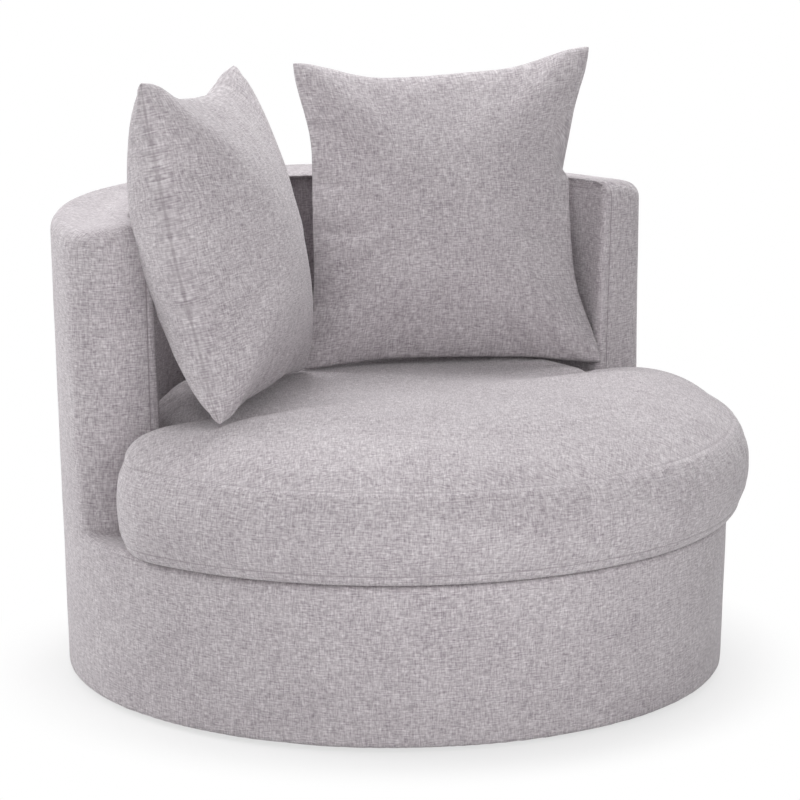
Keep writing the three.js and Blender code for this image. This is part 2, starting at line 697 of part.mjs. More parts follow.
addBase();
addBallRing();
addFrame();
addPanels();
addPadding();
addCovers();
addDeck();
const seat = addSeatCushion();
pillows.forEach((pillow) => addPillow(pillow, seat));

export default chair;
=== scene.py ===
import json
import math
import bpy
import numpy as np
from mathutils import Matrix, Vector, noise
from mathutils.bvhtree import BVHTree


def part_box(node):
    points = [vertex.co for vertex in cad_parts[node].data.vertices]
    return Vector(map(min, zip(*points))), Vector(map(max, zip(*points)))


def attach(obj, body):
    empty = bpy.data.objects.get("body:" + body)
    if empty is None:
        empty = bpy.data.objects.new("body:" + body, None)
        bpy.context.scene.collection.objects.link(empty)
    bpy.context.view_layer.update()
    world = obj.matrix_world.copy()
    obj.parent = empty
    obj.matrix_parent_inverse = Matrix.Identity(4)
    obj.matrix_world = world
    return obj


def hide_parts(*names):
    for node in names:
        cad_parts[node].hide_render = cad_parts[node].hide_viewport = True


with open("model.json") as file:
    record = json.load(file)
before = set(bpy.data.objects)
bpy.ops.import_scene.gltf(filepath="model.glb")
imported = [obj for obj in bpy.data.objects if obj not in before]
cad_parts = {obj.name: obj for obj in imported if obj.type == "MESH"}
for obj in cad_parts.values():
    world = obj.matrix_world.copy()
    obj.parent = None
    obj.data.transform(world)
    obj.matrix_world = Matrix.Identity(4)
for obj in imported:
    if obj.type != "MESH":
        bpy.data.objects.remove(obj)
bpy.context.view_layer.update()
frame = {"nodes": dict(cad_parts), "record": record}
scene = bpy.context.scene
print("frame loaded")

# the chair's main sizes, in metres, as the frame has them
chair = {
    "floorRadius": 0.5,
    "rimRadius": 0.516,
    "rimHeight": 0.7,
    "deckHeight": 0.245,
    "hemHeight": 0.008,
    "wallThickness": 0.11,
    "insideLean": 0.018,
    "armFaceY": 0.016,
    "armSlant": math.radians(15),
    "armOuterRounding": 0.068,
    "armInnerRounding": 0.017,
    "rimRounding": 0.022,
    "drumEdgeRounding": 0.01,
}


def outsideAt(z):
    return chair["floorRadius"] + (chair["rimRadius"] - chair["floorRadius"]) * z / chair["rimHeight"]


def insideAt(z):
    top = chair["rimRadius"] - chair["wallThickness"]
    below, height = chair["rimHeight"] - z, chair["rimHeight"] - chair["deckHeight"]
    return top - chair["insideLean"] * below / height


def polar(radius, angle):
    return Vector((radius * math.cos(angle), radius * math.sin(angle)))


def arcPoints(centre, radius, start, end, steps):
    return [centre + polar(radius, start + (end - start) * i / steps) for i in range(steps + 1)]


def smoothStep(x, low, high):
    t = np.clip((np.asarray(x, float) - low) / (high - low), 0, 1)
    return t * t * (3 - 2 * t)


def clearSelection():
    if bpy.context.mode != "OBJECT":
        bpy.ops.object.mode_set(mode="OBJECT")
    bpy.ops.object.select_all(action="DESELECT")


def makeActive(piece):
    clearSelection()
    piece.select_set(True)
    bpy.context.view_layer.objects.active = piece


def readPoints(mesh):
    flat = np.empty(len(mesh.vertices) * 3)
    mesh.vertices.foreach_get("co", flat)
    return flat.reshape(-1, 3)


def writePoints(mesh, points):
    mesh.vertices.foreach_set("co", np.ascontiguousarray(points, float).ravel())
    mesh.update()


def readNormals(mesh):
    flat = np.empty(len(mesh.vertices) * 3)
    mesh.vertices.foreach_get("normal", flat)
    return flat.reshape(-1, 3)


def selectFaces(piece, test):
    # object mode in, object mode out
    for face in piece.data.polygons:
        face.select = bool(test(face))


def selectEdges(piece, test):
    bpy.ops.object.mode_set(mode="EDIT")
    bpy.ops.mesh.select_mode(type="EDGE")
    bpy.ops.mesh.select_all(action="DESELECT")
    bpy.ops.object.mode_set(mode="OBJECT")
    points = [v.co for v in piece.data.vertices]
    for edge in piece.data.edges:
        a, b = edge.vertices
        edge.select = bool(test(points[a], points[b]))


def voxelRemesh(piece, size):
    makeActive(piece)
    piece.data.remesh_voxel_size = size
    piece.data.remesh_voxel_adaptivity = 0
    bpy.ops.object.voxel_remesh()


def smoothPiece(piece, factor, repeat):
    makeActive(piece)
    smooth = piece.modifiers.new("Smooth", "SMOOTH")
    smooth.factor = factor
    smooth.iterations = repeat
    bpy.ops.object.modifier_apply(modifier=smooth.name)


def shadeSmooth(piece):
    makeActive(piece)
    bpy.ops.object.shade_smooth()


# camera
camera = {
    "azimuth": math.radians(-32),
    "elevation": math.radians(11.94),
    "distance": 5.0,
    "target": Vector((0, 0, 0.401)),
    "slide": 0.00787,
    "lens": 147.83,
    "sensor": 36,
    "nearest": 0.1,
    "farthest": 100,
}


def makeCamera():
    a, e = camera["azimuth"], camera["elevation"]
    back = Vector((math.sin(a) * math.cos(e), -math.cos(a) * math.cos(e), math.sin(e)))
    right = (-back).cross(Vector((0, 0, 1))).normalized()
    place = camera["target"] + back * camera["distance"] + right * camera["slide"]
    bpy.ops.object.camera_add(location=place)
    eye = bpy.context.object
    eye.rotation_euler = (-back).to_track_quat("-Z", "Y").to_euler()
    eye.data.lens = camera["lens"]
    eye.data.sensor_width = camera["sensor"]
    eye.data.clip_start, eye.data.clip_end = camera["nearest"], camera["farthest"]
    scene.camera = eye


makeCamera()
print("camera placed")


# shader maths
class Wire:
    # wraps a socket, so that shader maths reads as sums
    def __init__(self, tree, socket=None):
        self.tree, self.socket = tree, socket

    def add(self, kind, settings=None, inputs=None, out=0):
        made = self.tree.nodes.new("ShaderNode" + kind)
        for key, value in (settings or {}).items():
            if key == "stops":
                ramp = made.color_ramp
                while len(ramp.elements) < len(value):
                    ramp.elements.new(0.5)
                for element, (place, colour) in zip(ramp.elements, value):
                    element.position = place
                    element.color = colour
            else:
                setattr(made, key, value)
        for key, value in (inputs or {}).items():
            if isinstance(value, Wire):
                self.tree.links.new(value.socket, made.inputs[key])
            else:
                made.inputs[key].default_value = value
        return Wire(self.tree, made.outputs[out])

    def math(self, operation, *values):
        return self.add("Math", {"operation": operation}, dict(enumerate(values)))

    def __add__(self, other):
        return self.math("ADD", self, other)

    def __radd__(self, other):
        return self.math("ADD", other, self)

    def __sub__(self, other):
        return self.math("SUBTRACT", self, other)

    def __rsub__(self, other):
        return self.math("SUBTRACT", other, self)

    def __mul__(self, other):
        return self.math("MULTIPLY", self, other)

    def __truediv__(self, other):
        return self.math("DIVIDE", self, other)

    def __pow__(self, other):
        return self.math("POWER", self, other)

    def __abs__(self):
        return self.math("ABSOLUTE", self)

    def step(self, low, high):
        # 0 below low, 1 above high, smooth between them
        settings = {"interpolation_type": "SMOOTHSTEP"}
        return self.add("MapRange", settings, {0: self, 1: low, 2: high, 3: 0, 4: 1})

    def colours(self, none, full):
        # the first colour at 0, the second at 1
        return self.add("Mix", {"data_type": "RGBA"}, {0: self, 6: none, 7: full}, out=2)

    def places(self, kind, count):
        # the first parts of a texture coordinate: 2 is the UV, 3 the object's own
        place = self.add("TexCoord", out=kind)
        return [self.add("SeparateXYZ", None, {0: place}, out=i) for i in range(count)]


def linear(colour):
    # sRGB 0..255 to the linear values that a shader takes
    parts = [c / 255 for c in colour]
    return tuple(c / 12.92 if c <= 0.04045 else ((c + 0.055) / 1.055) ** 2.4 for c in parts) + (1,)


def newMaterial(name):
    material = bpy.data.materials.new(name)
    material.use_nodes = True
    tree = material.node_tree
    shader = tree.nodes["Principled BSDF"]
    return material, Wire(tree), shader


def plug(wire, shader, socket):
    wire.tree.links.new(wire.socket, shader.inputs[socket])


# woven melange cloth: fine plain weave, slubs along both threads, pale and dark flecks
cloth = {
    "colour": (184, 177, 181),
    "dark": (139, 130, 136),
    "light": (221, 216, 218),
    "pitch": 0.0011,
    "slubLength": 0.013,
    "slubWidth": 0.0019,
    "warpStretch": 0.8,
    "fleckSize": (0.0034, 0.003),
    "broadSize": (0.09, 0.07),
    # how much each of them shows in the colour
    "weft": 0.64,
    "warp": 0.55,
    "fleck": 0.36,
    "broad": 0.14,
    "weave": 0.05,
    "stops": (0.2, 0.5, 0.8),
    "roughness": 0.92,
    "sheen": 0.25,
    "sheenRoughness": 0.5,
    "specular": 0.2,
    "bump": 0.35,
    "bumpDepth": 0.0006,
    # how much weave, flecks and seams show in the bump
    "weaveHeight": 0.35,
    "fleckHeight": 0.3,
    "grooveDepth": 3,
}
uvPlace, ownPlace = 2, 3


def clothMaterial(name, values, seams):
    material, make, shader = newMaterial(name)
    u, v = make.places(uvPlace, 2)

    def clouds(along, across, seed, settings):
        spot = make.add("CombineXYZ", None, {0: along, 1: across, 2: seed})
        return make.add("TexNoise", {"noise_dimensions": "3D"}, {"Vector": spot, "Scale": 1, **settings})

    def streak(along, across, seed, stretch=1.0):
        along = along / (values["slubLength"] * stretch)
        return clouds(along, across / values["slubWidth"], seed, {"Detail": 1, "Roughness": 0.5})

    weft = streak(u, v, 3.1)
    warp = streak(v, u, 7.7, values["warpStretch"])
    alongU, alongV = values["fleckSize"]
    fleck = clouds(u / alongU, v / alongV, 1.3, {"Detail": 1})
    alongU, alongV = values["broadSize"]
    broad = clouds(u / alongU, v / alongV, 9.4, {"Detail": 2})
    threadU, threadV = [make.math("SINE", along * (2 * math.pi / values["pitch"])) for along in (u, v)]
    weave = threadU * threadV
    tone = 0.5 + (weft - 0.5) * values["weft"] + (warp - 0.5) * values["warp"]
    tone = tone + (fleck - 0.5) * values["fleck"] + (broad - 0.5) * values["broad"]
    tone = tone + weave * values["weave"]
    colours = [linear(values[key]) for key in ("dark", "colour", "light")]
    base = make.add("ValToRGB", {"stops": list(zip(values["stops"], colours))}, {0: tone})
    height = (weft + warp) * 0.5 + weave * values["weaveHeight"] + fleck * values["fleckHeight"]
    line, groove = seams(make)
    plug(line.colours(base, linear(values["seam"])), shader, "Base Color")
    height = height - groove * values["grooveDepth"]
    bump = {"Strength": values["bump"], "Distance": values["bumpDepth"], "Height": height}
    plug(make.add("Bump", None, bump), shader, "Normal")
    shader.inputs["Roughness"].default_value = values["roughness"]
    shader.inputs["Sheen Weight"].default_value = values["sheen"]
    shader.inputs["Sheen Roughness"].default_value = values["sheenRoughness"]
    shader.inputs["Specular IOR Level"].default_value = values["specular"]
    return material


def addUv(piece, unwrap):
    # unwrap gets each corner with its face's centre and normal, and gives lengths along the cloth in metres
    mesh = piece.data
    while mesh.uv_layers:
        mesh.uv_layers.remove(mesh.uv_layers[0])
    layer = mesh.uv_layers.new(name="cloth")
    points = readPoints(mesh)
    loops = np.empty(len(mesh.loops), int)
    mesh.loops.foreach_get("vertex_index", loops)
    counts = np.empty(len(mesh.polygons), int)
    mesh.polygons.foreach_get("loop_total", counts)
    ofFaces = []
    for key in ("center", "normal"):
        flat = np.empty(len(mesh.polygons) * 3)
        mesh.polygons.foreach_get(key, flat)
        ofFaces.append(np.repeat(flat.reshape(-1, 3), counts, axis=0))
    layer.data.foreach_set("uv", unwrap(points[loops], *ofFaces).ravel())


# faces count as level, or as facing along the arm, beyond these shares of their normal
unwrapping = {"level": 0.72, "facing": 0.65}


def wrapRound(radius, grain=0):
    # round the upright axis on the sides, straight down on level faces, there turned by the grain
    turned = np.array([[math.cos(grain), -math.sin(grain)], [math.sin(grain), math.cos(grain)]])

    def angleOf(p):
        return np.arctan2(p[:, 1], p[:, 0])

    def unwrap(corners, centres, normals):
        turn = angleOf(corners) - angleOf(centres)
        turn = (turn + np.pi) % (2 * np.pi) - np.pi
        side = np.stack([(angleOf(centres) + turn) * radius, corners[:, 2]], 1)
        level = np.abs(normals[:, 2]) > unwrapping["level"]
        outward = centres[:, :2].copy()
        outward /= np.maximum(np.linalg.norm(outward, axis=1), 1e-9)[:, None]
        across = np.abs((normals[:, :2] * outward).sum(1))
        facing = across < unwrapping["facing"] * np.hypot(normals[:, 0], normals[:, 1])
        flat = np.stack([corners[:, 0], corners[:, 2]], 1)
        upright = np.where(facing[:, None], flat, side)
        return np.where(level[:, None], corners[:, :2] @ turned, upright)
    return unwrap


# the upholstered drum with its curved wall
body = {
    "sides": 160,
    "faceSteps": 6,
    "cornerSteps": 10,
    "wallSteps": 6,
    "wallFoot": 0.03,
    "voxel": 0.006,
    "smooth": 0.5,
    "smoothSteps": 4,
    "hemWidth": 0.013,
    "hemDepth": 0.03,
    "grow": 0.0006,
    "lump": 0.0007,
    # the wall leans and swells on its inside, between these distances from its inner side
    "inside": (0.01, 0.06),
    "armSwell": 0.004,
    "swellDepth": (0.025, 0.085),
    "swellFoot": (0.2, 0.5),
    "swellTop": (0.6, 0.72),
    # the rim falls a little towards its outer edge, most at the arms
    "rimFall": 0.003,
    "armRimFall": 0.007,
    "armRimDepth": (0.1, 0.4),
    "rimAcross": (0.02, 0.01),
    "rimAbove": 0.6,
    "clothRadius": 0.505,
}


def wallOutline():
    inner = chair["rimRadius"] - chair["wallThickness"]
    slant = chair["armSlant"]
    along, backward = polar(1, slant), polar(1, slant + math.pi / 2)
    corner = Vector((inner, chair["armFaceY"]))
    # the outer rounding's centre lies where it touches both the face and the outside
    start = corner + backward * chair["armOuterRounding"]
    reach = chair["rimRadius"] - chair["armOuterRounding"]
    run = -start.dot(along) + math.sqrt(start.dot(along) ** 2 - start.length_squared + reach ** 2)
    centre = start + along * run
    endAngle = math.atan2(centre.y, centre.x)
    rounding = chair["armInnerRounding"]
    innerAngle = math.atan2(corner.y + rounding * 1.1, corner.x)
    half = arcPoints(Vector((0, 0)), inner, math.pi / 2, innerAngle, body["sides"] // 4)
    # two points ease the inner corner
    bend = [half[-1] * 0.02 + corner * 0.98 + backward * rounding * 0.45 + along * rounding * 0.1]
    bend.append(corner + along * rounding * 0.3 + backward * rounding * 0.09)
    faceSteps = body["faceSteps"]
    face = [corner + along * (rounding + (run - rounding) * i / faceSteps) for i in range(faceSteps + 1)]
    outer = arcPoints(centre, chair["armOuterRounding"], slant - math.pi / 2, endAngle, body["cornerSteps"])
    back = arcPoints(Vector((0, 0)), chair["rimRadius"], endAngle, math.pi / 2, body["sides"] // 4)
    right = half + bend + face + outer[1:] + back[1:]
    left = [Vector((-p.x, p.y)) for p in reversed(right[1:-1])]
    return right + left


def makeBody():
    low, high = chair["hemHeight"], chair["deckHeight"]
    clearSelection()
    bpy.ops.mesh.primitive_cone_add(
        vertices=body["sides"], radius1=outsideAt(low), radius2=outsideAt(high),
        depth=high - low, location=(0, 0, (low + high) / 2))
    drum = bpy.context.object
    bpy.ops.object.transform_apply(location=True, rotation=True, scale=True)
    selectEdges(drum, lambda a, b: min(a.z, b.z) > high - 1e-4)
    bpy.ops.object.mode_set(mode="EDIT")
    bpy.ops.mesh.bevel(offset=chair["drumEdgeRounding"], segments=4, affect="EDGES")
    bpy.ops.mesh.select_mode(type="FACE")
    bpy.ops.mesh.select_all(action="DESELECT")
    bpy.ops.object.mode_set(mode="OBJECT")
    selectFaces(drum, lambda f: f.normal.z < -0.9)
    bpy.ops.object.mode_set(mode="EDIT")
    bpy.ops.mesh.inset(thickness=body["hemWidth"])
    bpy.ops.mesh.extrude_region_move(TRANSFORM_OT_translate={"value": (0, 0, body["hemDepth"])})
    bpy.ops.object.mode_set(mode="OBJECT")

    outline = wallOutline()
    foot = high - body["wallFoot"]
    bpy.ops.object.select_all(action="DESELECT")
    bpy.ops.mesh.primitive_circle_add(vertices=len(outline), fill_type="NGON")
    wall = bpy.context.object
    writePoints(wall.data, [(p.x, p.y, foot) for p in outline])
    bpy.ops.object.mode_set(mode="EDIT")
    bpy.ops.mesh.select_all(action="SELECT")
    for part in range(body["wallSteps"]):
        bpy.ops.mesh.extrude_region_move(
            TRANSFORM_OT_translate={"value": (0, 0, (chair["rimHeight"] - foot) / body["wallSteps"])})
    bpy.ops.mesh.select_all(action="SELECT")
    bpy.ops.mesh.normals_make_consistent(inside=False)
    bpy.ops.object.mode_set(mode="OBJECT")
    selectEdges(wall, lambda a, b: min(a.z, b.z) > chair["rimHeight"] - 1e-4)
    bpy.ops.object.mode_set(mode="EDIT")
    bpy.ops.mesh.bevel(offset=chair["rimRounding"], segments=6, affect="EDGES")
    bpy.ops.object.mode_set(mode="OBJECT")
    points = readPoints(wall.data)
    radius = np.hypot(points[:, 0], points[:, 1])
    inner = chair["rimRadius"] - chair["wallThickness"]
    near, far = body["inside"]
    nearInside = 1 - smoothStep(radius, inner + near, inner + far)
    swell = body["armSwell"] * nearInside * (1 - smoothStep(points[:, 1], *body["swellDepth"]))
    swell *= smoothStep(points[:, 2], *body["swellFoot"]) * (1 - smoothStep(points[:, 2], *body["swellTop"]))
    leaned = radius + (insideAt(points[:, 2]) - inner) * nearInside - swell
    leaned = np.minimum(leaned, outsideAt(points[:, 2]))
    points[:, 0] *= leaned / radius
    behind = points[:, 1] > chair["armFaceY"] + 0.02
    points[behind, 1] *= (leaned / radius)[behind]
    fall = body["rimFall"] + body["armRimFall"] * (1 - smoothStep(points[:, 1], *body["armRimDepth"]))
    near, far = body["rimAcross"]
    fall *= smoothStep(radius, inner + near, chair["rimRadius"] - far)
    points[:, 2] -= fall * (points[:, 2] > body["rimAbove"])
    writePoints(wall.data, points)

    clearSelection()
    wall.select_set(True)
    drum.select_set(True)
    bpy.context.view_layer.objects.active = drum
    bpy.ops.object.join()
    drum.name = drum.data.name = "body_cover"
    voxelRemesh(drum, body["voxel"])
    smoothPiece(drum, body["smooth"], body["smoothSteps"])
    points = readPoints(drum.data)
    normals = readNormals(drum.data)
    lump = np.array([noise.noise(Vector(p) * 7) + 0.5 * noise.noise(Vector(p) * 19) for p in points])
    points += normals * (body["grow"] + body["lump"] * lump)[:, None]
    writePoints(drum.data, points)
    addUv(drum, wrapRound(body["clothRadius"]))
    shadeSmooth(drum)
    return drum


bodyCover = makeBody()
print("body cover:", len(bodyCover.data.polygons), "faces")


# padded pieces
puffing = {"quality": 6, "damping": 20}


def puff(piece, values, pinned):
    # blows the piece up as a stuffed cover, then keeps each point within its cap of where it started
    start = readPoints(piece.data)
    makeActive(piece)
    group = piece.vertex_groups.new(name="held")
    for i in np.nonzero(pinned)[0]:
        group.add([int(i)], 1.0, "REPLACE")
    modifier = piece.modifiers.new("Puff", "CLOTH")
    settings = modifier.settings
    settings.quality = puffing["quality"]
    settings.mass = values["mass"]
    settings.tension_stiffness = settings.compression_stiffness = values["stiffness"]
    settings.shear_stiffness = values["shear"]
    settings.bending_stiffness = values["bending"]
    settings.tension_damping = settings.compression_damping = puffing["damping"]
    settings.use_pressure = True
    settings.uniform_pressure_force = values["pressure"]
    settings.shrink_min = values["slack"]
    settings.effector_weights.gravity = 0
    settings.vertex_group_mass = "held"
    modifier.collision_settings.use_collision = False
    modifier.point_cache.frame_start, modifier.point_cache.frame_end = 1, values["frames"]
    for step in range(1, values["frames"] + 1):
        scene.frame_set(step)
    shaped = piece.evaluated_get(bpy.context.evaluated_depsgraph_get()).to_mesh()
    move = readPoints(shaped) - start
    piece.modifiers.remove(modifier)
    scene.frame_set(1)
    length = np.linalg.norm(move, axis=1)
    move *= np.minimum(1, values["cap"] / np.maximum(length, 1e-9))[:, None]
    writePoints(piece.data, start + move)
    piece.vertex_groups.clear()


def refine(piece, levels):
    makeActive(piece)
    finer = piece.modifiers.new("Finer", "SUBSURF")
    finer.levels = finer.render_levels = levels
    bpy.ops.object.modifier_apply(modifier=finer.name)


def throughPoints(table, count):
    # a Catmull-Rom curve through the rows of a table
    rows = np.array(table, float)
    rows = np.vstack([2 * rows[0] - rows[1], rows, 2 * rows[-1] - rows[-2]])
    made = []
    for t in np.linspace(0, len(table) - 1, count):
        k = min(int(t), len(table) - 2)
        s = t - k
        a, b, c, d = rows[k:k + 4]
        bent = (2 * a - 5 * b + 4 * c - d) * s * s + (3 * b - a - 3 * c + d) * s ** 3
        made.append(0.5 * (2 * b + (c - a) * s + bent))
    return made


# seat cushion
seatCushion = {
    "frontRadius": 0.545,
    "frontY": -0.531,
    "earRadius": 0.132,
    "earBack": 0.012,
    "tongueRadius": 0.38,
    "bottomSeam": 0.262,
    "topSeam": 0.3775,
    "voxel": 0.007,
    # height of the front, height of the back and how far in, ring by ring from the floor up
    "profile": [
        (0.2462, 0.2462, 0.07), (0.2495, 0.2495, 0.055), (0.2505, 0.2505, 0.042), (0.248, 0.248, 0.031),
        (0.2455, 0.2455, 0.024), (0.2495, 0.2495, 0.0165), (0.26, 0.26, 0.0115), (0.275, 0.275, 0.0075),
        (0.295, 0.295, 0.0045), (0.324, 0.324, 0.003), (0.352, 0.352, 0.006), (0.3715, 0.388, 0.0145),
        (0.377, 0.403, 0.025), (0.3865, 0.412, 0.042), (0.3965, 0.4175, 0.064), (0.4085, 0.4202, 0.094),
        (0.4195, 0.4203, 0.128)],
    "levels": 40,
    "steps": 22,
    # the dome inside the rings: share of their width, height of the front and of the back
    "inner": [(0.85, 0.4325, 0.4205), (0.66, 0.439, 0.4225), (0.33, 0.4402, 0.4285)],
    "backStart": -0.15,
    "backEnd": -0.02,
    "smooth": 0.5,
    "smoothSteps": 3,
    # what the puffing leaves in place: the seams, the underside and the middle of the top
    "heldBySeam": 0.004,
    "heldBelow": 0.2515,
    "heldAbove": 0.41,
    "heldMiddle": (0, -0.1),
    "heldRadius": 0.3,
    "deckGap": 0.0012,
    "clothRadius": 0.53,
    "grain": math.radians(-32),
    "puff": {
        "mass": 0.3, "stiffness": 18, "shear": 5, "bending": 1.0, "pressure": 3.0, "slack": -0.015,
        "frames": 20, "cap": 0.005},
}


def seatOutline(inset, steps):
    front = Vector((0, seatCushion["frontY"] + seatCushion["frontRadius"]))
    ear = Vector((0, seatCushion["earBack"] - seatCushion["earRadius"]))
    between = seatCushion["frontRadius"] - seatCushion["earRadius"]
    ear.x = math.sqrt(between ** 2 - (front.y - ear.y) ** 2)
    join = math.atan2(ear.y - front.y, ear.x)
    tongue = seatCushion["tongueRadius"] - inset
    corner = math.asin((seatCushion["earBack"] - inset) / tongue)
    right = arcPoints(front, seatCushion["frontRadius"] - inset, -math.pi / 2, join, steps)
    right += arcPoints(ear, seatCushion["earRadius"] - inset, join, math.pi / 2, steps)[1:]
    right += arcPoints(Vector((0, 0)), tongue, corner, math.pi / 2, steps)
    return right + [Vector((-p.x, p.y)) for p in reversed(right[1:-1])]


def seatHeightAt(y, front, back):
    share = float(smoothStep(y, seatCushion["backStart"], seatCushion["backEnd"]))
    return front + (back - front) * share


def seatRings():
    rings = []
    for front, back, inset in throughPoints(seatCushion["profile"], seatCushion["levels"]):
        outline = seatOutline(inset, seatCushion["steps"])
        rings.append([(p.x, p.y, seatHeightAt(p.y, front, back)) for p in outline])
    rim = rings[-1]
    middle = -seatCushion["earRadius"]
    for scale, front, back in seatCushion["inner"]:
        ring = [(x * scale, middle + (y - middle) * scale) for x, y, z in rim]
        rings.append([(x, y, seatHeightAt(y, front, back)) for x, y in ring])
    return rings


def makeSeatCushion():
    rings = seatRings()
    clearSelection()
    bpy.ops.mesh.primitive_circle_add(vertices=len(rings[0]), fill_type="NGON")
    piece = bpy.context.object
    piece.name = piece.data.name = "seat_cushion"
    for ring in rings[1:]:
        bpy.ops.object.mode_set(mode="EDIT")
        bpy.ops.mesh.extrude_region_move()
        bpy.ops.object.mode_set(mode="OBJECT")
    points = np.array(rings).reshape(-1, 3)
    writePoints(piece.data, points)
    bpy.ops.object.mode_set(mode="EDIT")
    bpy.ops.mesh.select_all(action="SELECT")
    bpy.ops.mesh.normals_make_consistent(inside=False)
    bpy.ops.object.mode_set(mode="OBJECT")
    voxelRemesh(piece, seatCushion["voxel"])
    smoothPiece(piece, seatCushion["smooth"], seatCushion["smoothSteps"])
    points = readPoints(piece.data)
    height = points[:, 2]
    seams = np.minimum(np.abs(height - seatCushion["bottomSeam"]), np.abs(height - seatCushion["topSeam"]))
    x, y = seatCushion["heldMiddle"]
    centre = np.hypot(points[:, 0] - x, points[:, 1] - y) < seatCushion["heldRadius"]
    held = (seams < seatCushion["heldBySeam"]) | (height < seatCushion["heldBelow"])
    held |= (height > seatCushion["heldAbove"]) & centre
    puff(piece, seatCushion["puff"], held)
    # nothing sinks into the deck or the drum's rounded edge
    points = readPoints(piece.data)
    rounding = chair["drumEdgeRounding"]
    past = np.hypot(points[:, 0], points[:, 1]) - outsideAt(chair["deckHeight"]) + rounding
    drop = rounding - np.sqrt(np.clip(rounding ** 2 - np.clip(past, 0, None) ** 2, 0, None))
    points[:, 2] = np.maximum(points[:, 2], chair["deckHeight"] + seatCushion["deckGap"] - drop)
    writePoints(piece.data, points)
    refine(piece, 1)
    addUv(piece, wrapRound(seatCushion["clothRadius"], seatCushion["grain"]))
    shadeSmooth(piece)
    return piece


seat = makeSeatCushion()
print("seat cushion:", len(seat.data.polygons), "faces")

# scatter pillows
pillow = {
    "size": 0.482,
    "cells": 68,
    "startShare": 0.86,
    "fullness": 0.44,
    "drawIn": 0.025,
    "drawInBelow": 0.009,
    "earShare": 0.62,
    "seamWave": 0.002,
    "seamWaves": 4.2,
    "lump": 0.0012,
    "lumps": 23,
    # the middle and the width of the swell of the back, in half pillows
    "swellUp": 0.35,
    "swellWidth": 0.5,
    "puff": {
        "mass": 0.3, "stiffness": 9, "shear": 3, "bending": 0.5, "pressure": 6, "slack": -0.022,
        "frames": 14, "cap": 0.03},
}
# turns in degrees; half the thickness; the back's own swell; how far the left side goes back and the right
# side in; how far what is pushed takes its surroundings along; the corners' shifts, round from the lower left
pillowPlaces = {
    "left": {
        "turn": 45.7, "lean": 13.1, "roll": 1.5, "half": 0.086, "seed": 5,
        "backSwell": 0.42, "sideBack": 0.018, "sideIn": 0, "spread": 12,
        "corners": [(0, 0.005), (0, 0.004), (0, 0.008), (0, 0.021)]},
    "right": {
        "turn": -21.2, "lean": 11.9, "roll": -0.2, "half": 0.082, "seed": 9,
        "backSwell": 0, "sideBack": 0, "sideIn": 0.012, "spread": 40,
        "corners": [(0, 0), (0.0046, -0.008), (0.006, 0.015), (0.0076, 0)]},
}


def makePillowCover(place):
    # two grids back to back, joined along the seam
    cells, half = pillow["cells"], pillow["size"] / 2
    clearSelection()
    bpy.ops.mesh.primitive_grid_add(x_subdivisions=cells, y_subdivisions=cells, size=pillow["size"])
    piece = bpy.context.object
    bpy.ops.object.mode_set(mode="EDIT")
    bpy.ops.mesh.select_all(action="SELECT")
    bpy.ops.mesh.duplicate_move()
    bpy.ops.mesh.flip_normals()
    bpy.ops.object.mode_set(mode="OBJECT")
    points = readPoints(piece.data)
    s, t = points[:, 0] / half, points[:, 1] / half
    swell = (np.maximum(1 - s * s, 0) * np.maximum(1 - t * t, 0)) ** pillow["fullness"]
    rise = place["half"] * pillow["startShare"] * swell
    rise[len(points) // 2:] *= -1
    behind = rise < 0
    backSwell = np.exp(-(s ** 2 + (t - pillow["swellUp"]) ** 2) / pillow["swellWidth"])
    rise[behind] *= (1 + place["backSwell"] * backSwell)[behind]
    shift = Vector((0, 0, place["seed"]))
    lump = np.array([noise.noise(Vector(p) * pillow["lumps"] + shift) for p in points])
    seamLine = np.maximum(np.abs(s), np.abs(t)) > 0.999
    points[:, 2] = np.where(seamLine, 0, rise + lump * pillow["lump"])
    writePoints(piece.data, points)
    bpy.ops.object.mode_set(mode="EDIT")
    bpy.ops.mesh.select_all(action="SELECT")
    bpy.ops.mesh.remove_doubles(threshold=1e-4)
    bpy.ops.object.mode_set(mode="OBJECT")
    return piece


def drawInSeam(piece, place):
    # the seam is drawn in between the corners, which stay out as ears, and waves a little
    half = pillow["size"] / 2
    points = readPoints(piece.data)
    s, t = points[:, 0] / half, points[:, 1] / half
    points[:, 0] = s * (half - pillow["drawIn"] * smoothStep(1 - np.abs(t), 0, pillow["earShare"]))
    upDown = np.where(t > 0, pillow["drawIn"], pillow["drawInBelow"])
    points[:, 1] = t * (half - upDown * smoothStep(1 - np.abs(s), 0, pillow["earShare"]))
    for (right, up), (a, b) in zip(place["corners"], ((-1, -1), (1, -1), (1, 1), (-1, 1))):
        near = smoothStep(a * s, -0.4, 1) * smoothStep(b * t, -0.4, 1)
        points[:, 0] += right * near
        points[:, 1] += up * near
    points[:, 2] -= place["sideBack"] * smoothStep(-s, -0.2, 1) * np.clip(1 - t * t, 0, 1)
    points[:, 0] -= place["sideIn"] * smoothStep(s, 0.1, 1) * np.clip(1 - t * t, 0, 1)
    seamLine = np.maximum(np.abs(s), np.abs(t)) > 0.995
    waves = pillow["seamWaves"]
    wave = np.array([noise.noise(Vector((a * waves, b * waves, place["seed"]))) for a, b in zip(s, t)])
    points[:, 2] += pillow["seamWave"] * wave * seamLine
    writePoints(piece.data, points)
    return seamLine


